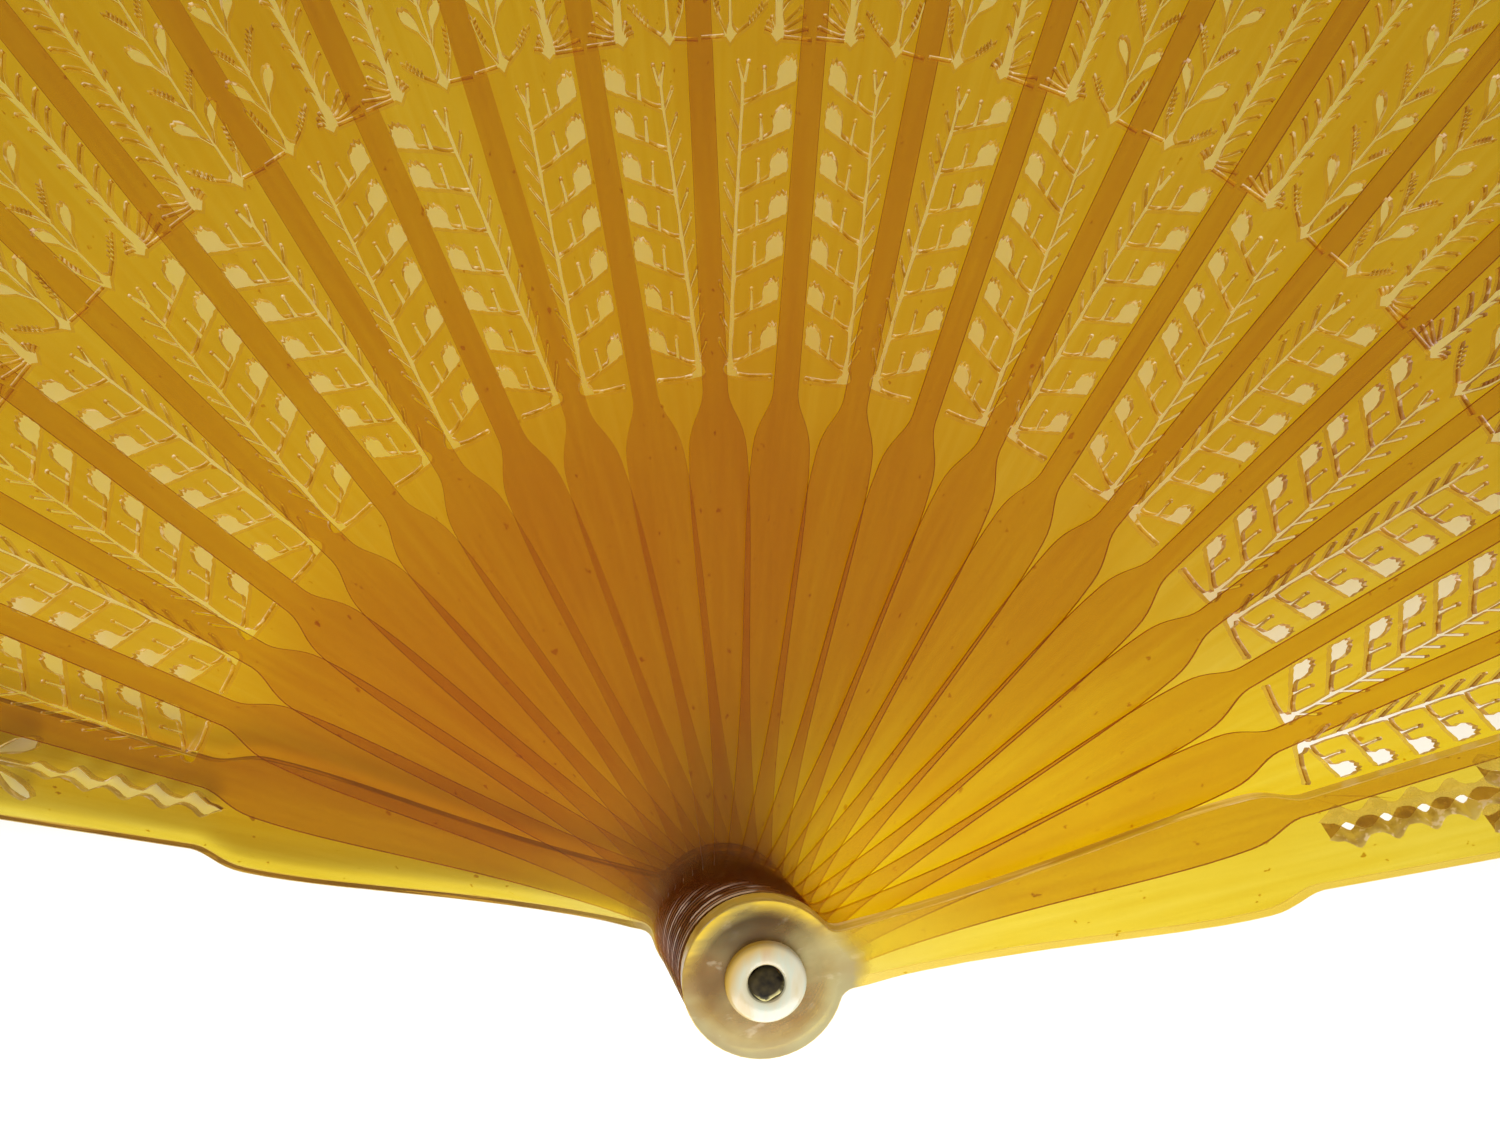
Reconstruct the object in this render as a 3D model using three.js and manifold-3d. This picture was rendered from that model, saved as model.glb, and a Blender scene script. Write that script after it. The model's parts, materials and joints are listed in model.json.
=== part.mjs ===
// A horn brise fan lying open: pierced horn sticks on one rivet, strung together near their tips by a ribbon.
// Millimetres, +Z up. The rivet rises from the origin with its lower washer on z = 0. The sticks spread over
// +Y, and each lies on the one to its left, so the front guard is on top at the right.

import * as THREE from "three";
import { mergeVertices } from "three/addons/utils/BufferGeometryUtils.js";
import Module from "manifold-3d";

const wasm = await Module();
wasm.setup();

// The fan as a whole
const INNER_STICKS = 21;
const STICK_ANGLE = 7; // degrees from one stick to the next when the ribbon is taut
const TIP_R = 152; // rivet to tip

// Outline of a stick: radii are measured from the rivet
const HEAD_D = 14;
const NECK_W = 5.2;
const NECK_FILLET = 1.5;
const GORGE_W = 10.8;
const GORGE_R = 45; // where the gorge is widest
const SHOULDER_R = 50.2; // where the blade starts
const OVERLAP_W = 2.36; // the strip of each blade that its neighbour covers
const ARCH_H = 9; // height of the arched tip

// Thicknesses of a stick: the underside is flat and the top falls away from the head
const BLADE_T = 0.46;
const TIP_T = 0.38;
const HEAD_GAP = 0.04; // running gap between heads
const HEAD_LAND = 1.6; // the head's full thickness reaches this far past its edge
const RAMP_L = 3.5; // from the head's thickness down to the blade's

// Guards: the same outline, thicker, with a boss at the head
const GUARD_T = 1.9;
const GUARD_TIP_T = 1.3;
const GUARD_BOSS = 0.5;

// Rivet and its pearl washers
const PIN_D = 2.6;
const PIN_END_D = 3.1; // the ends are spread in the washers, flush with their faces
const PIN_CLEARANCE = 0.05;
const RIVET_LEAN = 7; // degrees, towards +X: the sticks lie flat and the rivet leans in their loose holes
const WASHER_D = 7;
const WASHER_T = 0.9;
const WASHER_BEVEL = 0.25;

// Ribbon, threaded up through one slit in each stick
const RIBBON_FROM_TIP = 25; // to the ribbon's middle
const RIBBON_W = 6;
const RIBBON_T = 0.12;
const RIBBON_CLEAR = 0.06; // above and below the ribbon between two blades
const RIBBON_FOLD_GAP = 0.2; // from one length's fold to the start of the next
const SLIT_W = 1;
const SLIT_END_CLEAR = 0.5;

// First tier: one frond to each stick, sawn in from its foot
const SAW_CUT = 0.3;
const FROND_R = 51.7; // the foot
const FROND_BRANCHES = 7;
const FROND_PITCH = 3.75;
const FROND_FIRST = 1; // foot to first branch
const FROND_STEM = { foot: -0.43, top: -0.17 }; // place of a stem, as a share of the blade's half width
const FROND_STEM_W = { foot: 0.9, top: 0.4 };
const FROND_CUT = 0.36; // how far the saw cut at the foot runs past the middle, as a share of the half width
const FROND_BARBS = 3;
const LEAF_RISE = 3.9;
const LEAF_EDGE = 2; // blade left beside a leaf
const BARB_REACH = 1.1;
const BARB_RISE = 1.9;

// Second tier: a leafy sprig and a feathery one to each stick
const TIER_GAP = 2.1; // blade left above the fronds
const SLIT_GAP = 9.3; // blade left below the ribbon's slit
const SPRIG_STEM_W = { foot: 1, top: 0.35 };
const LEAFY_STEM = { foot: -0.38, top: -0.38 };
const LEAFY_REACH = 1.9;
const LEAFY_NODES = 2; // pairs of buds
const ARM_RISE = 6; // the pair of arms at a leafy sprig's foot
const BUD_RISE = 6;
const FEATHERY_STEM = { foot: 0.3, top: 0.38 };
const FEATHERY_BARBS = { outer: 3, inner: 2 };
const FEATHERY_RISE = 4.5;

// Guard piercing: a barley twist that runs on as a stem with leaves in pairs
const TWIST_R = 53.8; // its foot
const TWIST_LOOPS = 6;
const TWIST_PITCH = 3.7;
const TWIST_SWING = 1.2; // to each side of the middle
const GUARD_STEM_W = { foot: 0.4, top: 0.3 };
const GUARD_LEAF_PAIRS = 4;
const GUARD_LEAF_PITCH = 11;
const GUARD_LEAF_FIRST = 0.8; // end of the twist to the first pair
const GUARD_LEAF_REACH = 3.3;
const GUARD_LEAF_RISE = 4.8;

const HEAD_SEGMENTS = 10;
const HOLE_SIDES = 8;
const ROUND_SEGMENTS = 18;

const HORN = { color: 0xc8921e, roughness: 0.25, metalness: 0 };
const GUARD_HORN = { color: 0xdcc03c, roughness: 0.25, metalness: 0 };
const PEARL = { color: 0xebebdc, roughness: 0.2, metalness: 0 };
const METAL = { color: 0x4a3c1c, roughness: 0.5, metalness: 1 };
const SILK = { color: 0xe8dcc0, roughness: 0.7, metalness: 0 };

const radians = THREE.MathUtils.degToRad;
const lerp = THREE.MathUtils.lerp;
const HEAD_R = HEAD_D / 2;
const STICK_PITCH = BLADE_T + RIBBON_T + 2 * RIBBON_CLEAR; // one stick's level to the next
const HEAD_T = STICK_PITCH - HEAD_GAP;
const GUARD_HEAD_T = GUARD_T + GUARD_BOSS;
const REAR_GUARD_Z = WASHER_T;
const STICKS_Z = REAR_GUARD_Z + GUARD_HEAD_T + HEAD_GAP;
const FRONT_GUARD = INNER_STICKS + 1; // the rear guard is piece 0 and the sticks are 1 to INNER_STICKS
const FRONT_WASHER_Z = levelOf(FRONT_GUARD) + GUARD_HEAD_T;
const RIBBON_R = TIP_R - RIBBON_FROM_TIP;
const SLIT_L = RIBBON_W + 2 * SLIT_END_CLEAR;
const FROND_H = FROND_FIRST + (FROND_BRANCHES - 1) * FROND_PITCH + LEAF_RISE;
const SPRIG_R = FROND_R + FROND_H + TIER_GAP;
const SPRIG_H = RIBBON_R - SLIT_L / 2 - SLIT_GAP - SPRIG_R;
const LEAN_SLOPE = Math.tan(radians(RIVET_LEAN));
const BEYOND = 5; // how far a cutting body passes what it cuts

// The underside of an inner stick or of the front guard.
function levelOf(piece) {
  return STICKS_Z + (piece - 1) * STICK_PITCH;
}

// Where the rivet is along X at a height: it leans between its washers and stands upright in them.
function rivetX(z) {
  return LEAN_SLOPE * (THREE.MathUtils.clamp(z, REAR_GUARD_Z, FRONT_WASHER_Z) - REAR_GUARD_Z);
}

// A piece's turn about the rivet from standing along +Y; the fan is even about +Y.
function turnOf(piece) {
  return radians((FRONT_GUARD / 2 - piece) * STICK_ANGLE);
}

// Half the blade's width at a radius: its share of the spread fan, and half the overlap.
function halfWidth(r) {
  return r * Math.tan(radians(STICK_ANGLE / 2)) + OVERLAP_W / 2;
}

function vectors(pairs) {
  return pairs.map(([x, y]) => new THREE.Vector2(x, y));
}

function bezier(steps, ...pairs) {
  return new THREE.CubicBezierCurve(...vectors(pairs)).getPoints(steps);
}

// The right-hand edge of a stick from its neck to its tip: a slim neck, a swelling gorge, an ogee shoulder,
// a straight blade and half of an arch.
function stickEdge() {
  const neck = NECK_W / 2;
  const neckR = HEAD_R + NECK_FILLET;
  const gorge = GORGE_W / 2;
  const swell = GORGE_R - neckR;
  const ogee = SHOULDER_R - GORGE_R;
  const shoulder = halfWidth(SHOULDER_R);
  const archR = TIP_R - ARCH_H;
  const arch = halfWidth(archR);
  return [
    ...bezier(
      3, [neck, neckR], [neck, lerp(neckR, GORGE_R, 0.42)], [gorge, GORGE_R - swell / 4], [gorge, GORGE_R],
    ),
    ...bezier(
      3, [gorge, GORGE_R], [gorge, GORGE_R + ogee / 2], [shoulder, SHOULDER_R - ogee / 3],
      [shoulder, SHOULDER_R],
    ).slice(1),
    ...bezier(
      3, [arch, archR], [arch, lerp(archR, TIP_R, 0.6)], [arch / 3, lerp(archR, TIP_R, 0.9)], [0, TIP_R],
    ),
  ];
}

// Mirrors an outline in the stick's middle line and keeps its sense.
function mirrored(points) {
  return points.map((p) => new THREE.Vector2(-p.x, p.y)).reverse();
}

// A polygon round a circle, so that its flats keep the circle's radius.
function circle(radius, sides) {
  const corner = radius / Math.cos(Math.PI / sides);
  return new THREE.EllipseCurve(0, 0, corner, corner, 0, 2 * Math.PI).getPoints(sides).slice(1);
}

// The whole outline: up the right edge, down the left and round the head. Its hole lets the rivet lean.
function stickOutline(piercings, headT) {
  const edge = stickEdge();
  const leave = Math.asin((NECK_W + NECK_FILLET) / HEAD_D); // the fillets leave the head at this angle
  const head = new THREE.EllipseCurve(0, 0, HEAD_R, HEAD_R, Math.PI / 2 + leave, (5 * Math.PI) / 2 - leave);
  const shape = new THREE.Shape([...edge, ...mirrored(edge).slice(1), ...head.getPoints(HEAD_SEGMENTS)]);
  const hole = circle((PIN_D + LEAN_SLOPE * headT) / 2 + PIN_CLEARANCE, HOLE_SIDES);
  const holes = [hole, ...piercings];
  shape.holes.push(...holes.map((points) => new THREE.Path(points)));
  return shape;
}

// Side twigs of a plant. Each point is a share of the way out to the twig's end and of its rise.
const LEAF = [[0.6, 0.32], [0.97, 0.52], [0.93, 1], [0.62, 0.52]];
const BUD = [[1, 0.72], [0.86, 1]];
const BARB = [[1, 1]];
const STRAIGHT_CUT = [[1, 0], [1, 1]];

// One pierced plant in a stick's frame: up its right side, over the top and down its left side. Each twig has
// its height up the stem, the x it reaches out to, its rise and its points.
function plantOutline({ footR, topR, stem, stemW, right, left }) {
  const stemAt = (r, hand) => {
    const t = (r - footR) / (topR - footR);
    return halfWidth(r) * lerp(stem.foot, stem.top, t) + (hand * lerp(stemW.foot, stemW.top, t)) / 2;
  };
  const twig = ({ at, to, rise, points }, hand) => {
    const r = footR + at;
    const start = stemAt(r, hand);
    return [
      [start, r],
      ...points.map(([u, v]) => [lerp(start, to, u), r + v * rise]),
      [stemAt(r + SAW_CUT, hand), r + SAW_CUT],
    ];
  };
  const corner = (twigs, hand) => (twigs[0].at > 0 ? [[stemAt(footR, hand), footR]] : []);
  return [
    ...corner(right, 1),
    ...right.flatMap((t) => twig(t, 1)),
    [stemAt(topR, 0), topR],
    ...left.toReversed().flatMap((t) => twig(t, -1).reverse()),
    ...corner(left, -1),
  ];
}

function series(count, make) {
  return Array.from({ length: count }, (_, i) => make(i));
}

// The first tier's frond: leafy branches to the right and barbs to the left, over a saw cut to the right.
function frond() {
  const right = [
    { at: 0, to: FROND_CUT * halfWidth(FROND_R), rise: SAW_CUT, points: STRAIGHT_CUT },
    ...series(FROND_BRANCHES, (i) => {
      const at = FROND_FIRST + i * FROND_PITCH;
      return { at, to: halfWidth(FROND_R + at) - LEAF_EDGE, rise: LEAF_RISE, points: LEAF };
    }),
  ];
  const left = series(FROND_BARBS, (i) => {
    const at = ((i + 0.5) * FROND_H) / FROND_BARBS;
    const share = lerp(FROND_STEM.foot, FROND_STEM.top, at / FROND_H);
    return { at, to: share * halfWidth(FROND_R + at) - BARB_REACH, rise: BARB_RISE, points: BARB };
  });
  const stem = { stem: FROND_STEM, stemW: FROND_STEM_W };
  return plantOutline({ footR: FROND_R, topR: FROND_R + FROND_H, ...stem, right, left });
}

// The second tier's leafy sprig: a pair of arms at the foot, then pairs of buds.
function leafySprig() {
  const side = (hand) => [
    { at: 0.5, rise: ARM_RISE, points: BARB },
    ...series(LEAFY_NODES, (i) => (
      { at: (SPRIG_H * (i + 1)) / (LEAFY_NODES + 1), rise: BUD_RISE, points: BUD }
    )),
  ].map((twig) => {
    const middle = LEAFY_STEM.foot * halfWidth(SPRIG_R + twig.at);
    return { ...twig, to: middle + hand * LEAFY_REACH };
  });
  return sprig(LEAFY_STEM, side(1), side(-1));
}

// The second tier's feathery sprig: long barbs to the right, short ones to the left, over a cut to the right.
function featherySprig() {
  const barbs = (count, reach) => series(count, (i) => {
    const at = ((SPRIG_H - FEATHERY_RISE) * (i + 0.5)) / count;
    const share = lerp(FEATHERY_STEM.foot, FEATHERY_STEM.top, at / SPRIG_H);
    return { at, to: share * halfWidth(SPRIG_R + at) + reach, rise: FEATHERY_RISE, points: BARB };
  });
  const cut = { at: 0, to: halfWidth(SPRIG_R) - OVERLAP_W, rise: SAW_CUT, points: STRAIGHT_CUT };
  const outer = barbs(FEATHERY_BARBS.outer, 2 * BARB_REACH);
  return sprig(FEATHERY_STEM, [cut, ...outer], barbs(FEATHERY_BARBS.inner, -BARB_REACH));
}

function sprig(stem, right, left) {
  return plantOutline({ footR: SPRIG_R, topR: SPRIG_R + SPRIG_H, stem, stemW: SPRIG_STEM_W, right, left });
}

function ribbonSlit() {
  const half = SLIT_W / 2;
  const low = RIBBON_R - SLIT_L / 2;
  const high = RIBBON_R + SLIT_L / 2;
  return [[-half, low], [half, low], [half, high], [-half, high]];
}

// The piercings of an inner stick; every second stick has them the other way round.
function stickPiercings(hand) {
  return [frond(), leafySprig(), featherySprig(), ribbonSlit()]
    .map((outline) => vectors(outline.map(([x, y]) => [hand * x, y])));
}

// One swing of the barley twist to the right and back, up its right side and up its left. Each point is a
// share of the swing and of the pitch. The opening is wide on its way out and narrow on its way back.
const TWIST_RIGHT = [[-0.1, 0], [0.6, 0.21], [1, 0.39], [0.3, 0.74]];
const TWIST_LEFT = [[-0.95, 0.1], [-0.6, 0.28], [0.3, 0.52], [-0.42, 0.88]];
const GUARD_LEAF = [[0.5, 0.36], [0.95, 0.7], [0.9, 1], [0.4, 0.66]];

// The piercing of a guard: the barley twist along its middle, and the leafy stem above it.
function guardPiercing() {
  const stemR = TWIST_R + TWIST_LOOPS * TWIST_PITCH;
  const leaves = (hand) => series(GUARD_LEAF_PAIRS, (i) => ({
    at: GUARD_LEAF_FIRST + i * GUARD_LEAF_PITCH,
    to: hand * GUARD_LEAF_REACH,
    rise: GUARD_LEAF_RISE,
    points: GUARD_LEAF,
  }));
  const stem = plantOutline({
    footR: stemR,
    topR: stemR + GUARD_LEAF_PAIRS * GUARD_LEAF_PITCH,
    stem: { foot: 0, top: 0 },
    stemW: GUARD_STEM_W,
    right: leaves(1),
    left: leaves(-1),
  });
  const twist = (swing) => series(TWIST_LOOPS, (i) => (
    swing.map(([x, y]) => [x * TWIST_SWING, TWIST_R + (i + y) * TWIST_PITCH])
  )).flat();
  return vectors([...twist(TWIST_RIGHT), ...stem, ...twist(TWIST_LEFT).reverse()]);
}

function toSolid(geometry) {
  geometry.deleteAttribute("normal");
  geometry.deleteAttribute("uv");
  const merged = mergeVertices(geometry, 1e-4);
  return new wasm.Manifold(new wasm.Mesh({
    numProp: 3,
    vertProperties: merged.attributes.position.array,
    triVerts: new Uint32Array(merged.index.array),
  }));
}

function toGeometry(solid) {
  const { vertProperties, triVerts } = solid.getMesh();
  return new THREE.BufferGeometry()
    .setAttribute("position", new THREE.BufferAttribute(vertProperties, 3))
    .setIndex(new THREE.BufferAttribute(triVerts, 1));
}

// A stick's plate: its pierced outline cut to its side profile, thick at the head and thin at the tip.
function platePiece(piercings, headT, bladeT, tipT) {
  const plan = new THREE.ExtrudeGeometry(stickOutline(piercings, headT), {
    depth: headT + 2 * BEYOND,
    bevelEnabled: false,
  }).translate(0, 0, -BEYOND);
  const landR = HEAD_R + HEAD_LAND;
  const rampR = landR + RAMP_L;
  const endR = TIP_R + BEYOND;
  const endT = lerp(bladeT, tipT, (endR - rampR) / (TIP_R - rampR));
  const startR = -HEAD_R - BEYOND;
  const side = new THREE.Shape(vectors([
    [startR, 0], [endR, 0], [endR, endT], [rampR, bladeT], [landR, headT], [startR, headT],
  ]));
  const width = 2 * (halfWidth(TIP_R) + HEAD_R);
  const profile = new THREE.ExtrudeGeometry(side, { depth: width, bevelEnabled: false })
    .translate(0, 0, -width / 2)
    .applyMatrix4(new THREE.Matrix4().set(0, 0, 1, 0, 1, 0, 0, 0, 0, 1, 0, 0, 0, 0, 0, 1));
  return toGeometry(toSolid(plan).intersect(toSolid(profile)));
}

// A ring or rod turned about Z from [radius, height] points.
function turned(profile) {
  return new THREE.LatheGeometry(vectors(profile), ROUND_SEGMENTS).rotateX(Math.PI / 2);
}

// Moves each of a geometry's points to where place puts it.
function moved(geometry, place) {
  const points = geometry.attributes.position;
  for (let i = 0; i < points.count; i++) {
    points.setXYZ(i, ...place(points.getX(i), points.getY(i), points.getZ(i)));
  }
  return geometry;
}

// The rivet: a leaning shaft whose ends are spread in the washers.
function rivetGeometry() {
  const shaft = PIN_D / 2;
  const end = PIN_END_D / 2;
  const top = FRONT_WASHER_Z + WASHER_T;
  const half = [[0, 0], [end, 0], [shaft, WASHER_T], [shaft, top - WASHER_T], [end, top], [0, top]];
  return moved(turned(half), (x, y, z) => [x + rivetX(z), y, z]);
}

// A washer with its face up: bevelled rim, bore opening towards the face to hold the rivet's spread end.
function washerGeometry() {
  const rim = WASHER_D / 2;
  const bore = PIN_D / 2 + PIN_CLEARANCE;
  const mouth = PIN_END_D / 2 + PIN_CLEARANCE;
  return turned([
    [bore, 0], [rim, 0], [rim, WASHER_T - WASHER_BEVEL], [rim - WASHER_BEVEL, WASHER_T], [mouth, WASHER_T],
    [bore, 0],
  ]);
}

// The ribbon from one piece to the next, in the lower piece's frame. It lies flat beneath the upper piece and
// folds up through that piece's slit to the level of the next length. The front guard has no slit, so the last
// length ends flat against it.
function ribbonGeometry(piece) {
  const top = levelOf(piece) - RIBBON_CLEAR;
  const bottom = top - RIBBON_T;
  const start = RIBBON_T / 2 + RIBBON_FOLD_GAP;
  const end = RIBBON_R * radians(STICK_ANGLE) + RIBBON_T / 2;
  const inner = end - RIBBON_T;
  const folded = [[end, top + STICK_PITCH], [inner, top + STICK_PITCH], [inner, top]];
  const last = piece < FRONT_GUARD ? folded : [[end, top]];
  const profile = new THREE.Shape(vectors([[start, bottom], [end, bottom], ...last, [start, top]]));
  const straight = new THREE.ExtrudeGeometry(profile, { depth: RIBBON_W, bevelEnabled: false });
  return moved(straight, (along, height, across) => {
    const angle = along / RIBBON_R;
    const r = RIBBON_R + RIBBON_W / 2 - across;
    return [r * Math.sin(angle), r * Math.cos(angle), height];
  });
}

const fan = new THREE.Group();

function add(name, geometry, finish, place = {}) {
  const mesh = new THREE.Mesh(geometry, new THREE.MeshStandardMaterial(finish));
  mesh.name = name;
  mesh.rotation.z = place.turn ?? 0;
  mesh.position.set(place.x ?? 0, 0, place.z ?? 0);
  fan.add(mesh);
  return mesh;
}

// Puts a stick or guard on the rivet, its head's mid height over the rivet's middle.
function addPiece(name, plate, finish, piece, z, headT) {
  add(name, plate, finish, { turn: turnOf(piece), x: rivetX(z + headT / 2), z });
}

function numbered(word, i) {
  return `${word}_${String(i).padStart(2, "0")}`;
}

const guardPlate = platePiece([guardPiercing()], GUARD_HEAD_T, GUARD_T, GUARD_TIP_T);
addPiece("rear_guard", guardPlate, GUARD_HORN, 0, REAR_GUARD_Z, GUARD_HEAD_T);
for (let i = 1; i <= INNER_STICKS; i++) {
  const hand = i % 2 ? 1 : -1;
  const plate = platePiece(stickPiercings(hand), HEAD_T, BLADE_T, TIP_T);
  addPiece(numbered("stick", i), plate, HORN, i, levelOf(i), HEAD_T);
}
addPiece("front_guard", guardPlate, GUARD_HORN, FRONT_GUARD, levelOf(FRONT_GUARD), GUARD_HEAD_T);

add("pivot_pin", rivetGeometry(), METAL);
add("front_washer", washerGeometry(), PEARL, { x: rivetX(FRONT_WASHER_Z), z: FRONT_WASHER_Z });
add("rear_washer", washerGeometry(), PEARL, { z: WASHER_T }).rotation.x = Math.PI;

for (let i = 1; i <= FRONT_GUARD; i++) {
  add(numbered("ribbon", i), ribbonGeometry(i), SILK, { turn: turnOf(i - 1), x: rivetX(levelOf(i)) });
}

export default fan;
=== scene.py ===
# A horn brise fan, dressed for a picture
# The solid model of the fan is already packed. This lesson puts finely sawn horn, pearl, metal and silk around it.

# %% [markdown]
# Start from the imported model. Every solid in it has a place and a body that it turns with, and those stay as they
# are. The script asks the model for places and never guesses them, so each new piece lands where the solid lies.

# %% Load the frame
import json
import math
import random

import bmesh
import bpy
import numpy as np
from mathutils import Matrix, Vector


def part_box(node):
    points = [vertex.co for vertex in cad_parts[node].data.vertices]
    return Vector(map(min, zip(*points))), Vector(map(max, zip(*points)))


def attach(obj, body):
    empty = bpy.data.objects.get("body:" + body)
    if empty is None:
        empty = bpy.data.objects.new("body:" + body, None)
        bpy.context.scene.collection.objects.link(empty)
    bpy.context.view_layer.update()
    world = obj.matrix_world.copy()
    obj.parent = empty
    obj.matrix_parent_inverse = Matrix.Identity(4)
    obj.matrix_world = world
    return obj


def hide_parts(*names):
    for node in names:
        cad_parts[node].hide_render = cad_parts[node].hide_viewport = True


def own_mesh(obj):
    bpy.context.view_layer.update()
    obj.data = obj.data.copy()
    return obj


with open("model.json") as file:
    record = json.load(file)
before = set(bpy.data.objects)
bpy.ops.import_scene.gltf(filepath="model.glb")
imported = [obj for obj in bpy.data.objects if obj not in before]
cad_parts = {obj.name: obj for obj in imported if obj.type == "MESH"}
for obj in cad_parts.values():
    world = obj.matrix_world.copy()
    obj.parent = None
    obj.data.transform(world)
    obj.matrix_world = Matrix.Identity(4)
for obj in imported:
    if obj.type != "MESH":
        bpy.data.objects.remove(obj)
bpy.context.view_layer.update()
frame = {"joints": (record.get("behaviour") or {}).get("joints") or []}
MM = 0.001
STICKS = 21
FRONT_GUARD = STICKS + 1
STICK_ANGLE = 7.0


def piece_name(piece):
    """The rear guard is piece 0, the sticks are 1 to 21 and the front guard is 22."""
    return {0: "rear_guard", FRONT_GUARD: "front_guard"}.get(piece, f"stick_{piece:02d}")


hinges = {joint["child"]: joint for joint in frame["joints"]}

# %% [markdown]
# Each stick is drawn flat in a frame of its own, in millimetres: the rivet at the origin, the tip up +Y and the
# underside on z = 0. Its hinge says where that frame sits. The rear guard has no hinge, so its box gives the height.

# %% Where each stick sits
LEAN_ANGLE = 7.0
LEAN = math.tan(math.radians(LEAN_ANGLE))
GUARD_HEAD_T = 2.4


def stick_matrix(piece):
    turn = Matrix.Rotation(math.radians((FRONT_GUARD / 2 - piece) * STICK_ANGLE), 4, "Z")
    if piece == 0:
        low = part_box("rear_guard")[0].z
        return Matrix.Translation((LEAN * GUARD_HEAD_T / 2 * MM, 0, low)) @ turn
    return Matrix.Translation(hinges[piece_name(piece)]["pos_m"]) @ turn


for sample in (0, 11, FRONT_GUARD):
    print(piece_name(sample), [round(c / MM, 2) for c in stick_matrix(sample).translation])

# %% [markdown]
# The camera stands where the photographer stood, a hand's breadth above the fan and a little to the left. Its place
# and turn come from matching the stick edges in the picture with the solids.

# %% Camera
SENSOR_MM, LENS_MM = 36.0, 38.37
CAMERA_PLACE, CAMERA_TURN = Vector((-12.31, 46.08, 153.11)) * MM, Vector((-0.07783, -0.09524, 0.0137))
camera = bpy.data.objects.new("camera", bpy.data.cameras.new("camera"))
camera.data.sensor_width = SENSOR_MM
camera.data.lens = LENS_MM
camera.data.clip_start = 0.005
camera.matrix_world = (
    Matrix.Translation(CAMERA_PLACE) @ Matrix.Rotation(CAMERA_TURN.length, 4, CAMERA_TURN.normalized())
)
bpy.context.scene.collection.objects.link(camera)
bpy.context.scene.camera = camera
print("camera at", [round(c, 4) for c in camera.location])

# %% [markdown]
# Every finish starts from an empty node tree. Blender's ready-made shader could stand for most surfaces, but thin
# horn needs a small recipe of its own, so one helper makes the empty tree and hands back the tools that fill it. The
# renderer stops after a few clear faces in a row. A pile of horn has two for each stick and more for its cuts, so
# that limit is raised. The Standard view shows each colour about as it is written.

# %% An empty material
scene = bpy.context.scene
scene.view_settings.view_transform = "Standard"
HORN_FACES = 96
scene.cycles.transparent_max_bounces = HORN_FACES


def new_material(name):
    """An empty node tree. Returns the material, its output, a function that adds nodes and one that links."""
    material = bpy.data.materials.new(name)
    material.use_nodes = True
    tree = material.node_tree
    tree.nodes.clear()
    output = tree.nodes.new("ShaderNodeOutputMaterial")

    def node(kind, **values):
        made = tree.nodes.new("ShaderNode" + kind)
        for key, value in values.items():
            if hasattr(made, key):
                setattr(made, key, value)
            else:
                made.inputs[key.replace("_", " ")].default_value = value
        return made

    def link(source, target):
        tree.links.new(source, target)

    return material, output, node, link


print("light may pass", HORN_FACES, "clear faces in a row")

# %% [markdown]
# The fan lies on a plain white table with the faint grain of paper. A large plane does for it, laid just under the
# solids so that no two faces share one place. It isn't part of the fan.

# %% White table
def table_material():
    material, output, node, link = new_material("white_table")
    paper = node("BsdfDiffuse")
    grain = node("TexNoise", Scale=900.0, Detail=2.0)
    tone = node("Mix", data_type="RGBA")
    tone.inputs[6].default_value = (0.97, 0.97, 0.965, 1)
    tone.inputs[7].default_value = (0.99, 0.99, 0.985, 1)
    link(grain.outputs["Fac"], tone.inputs[0])
    link(tone.outputs[2], paper.inputs["Color"])
    link(paper.outputs[0], output.inputs["Surface"])
    return material


TABLE_SIZE, TABLE_GAP = 3.0, 0.2 * MM
bpy.ops.mesh.primitive_plane_add(size=TABLE_SIZE, location=(0, 0, -TABLE_GAP))
table = bpy.context.object
table.name = "table"
table.data.materials.append(table_material())
print("table", TABLE_SIZE, "m wide")

# %% [markdown]
# Horn glows because light falls through it onto the white table and comes back up through it. So a broad lamp hangs
# close to the rivet's end of the fan. Its light passes through the sticks and tints the table under them. It also
# slips in under the upper sticks, so the right half is brighter than the left, and the thick pile of heads leaves its
# shadow on the side of the sticks. An even white sky fills in the rest.

# %% Lamp and sky
LAMP_W, SKY = 0.35, 0.585
LAMP_SIZE, LAMP_PLACE, LAMP_AIM = 0.16, Vector((0.01, -0.11, 0.11)), Vector((0, 0.05, 0))
lamp = bpy.data.objects.new("lamp", bpy.data.lights.new("lamp", "AREA"))
lamp.data.shape = "DISK"
lamp.data.size = LAMP_SIZE
lamp.data.energy = LAMP_W
lamp.location = LAMP_PLACE
lamp.rotation_euler = (LAMP_AIM - LAMP_PLACE).to_track_quat("-Z", "Y").to_euler()
lamp.visible_camera = False
scene.collection.objects.link(lamp)

world = bpy.data.worlds.new("sky")
world.use_nodes = True
world.node_tree.nodes["Background"].inputs["Color"].default_value = (1, 1, 1, 1)
world.node_tree.nodes["Background"].inputs["Strength"].default_value = SKY
scene.world = world
print("lamp", LAMP_W, "W, sky", SKY)

# %% [markdown]
# Most finishes here are built from a few kinds of node: noise in the piece's own coordinates, a range that turns the
# noise into a useful number, a sum or a product, and a blend of two shaders. A small class keeps those short. Each
# object's random number shifts the noise, so that no two sticks carry the same clouds.

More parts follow.
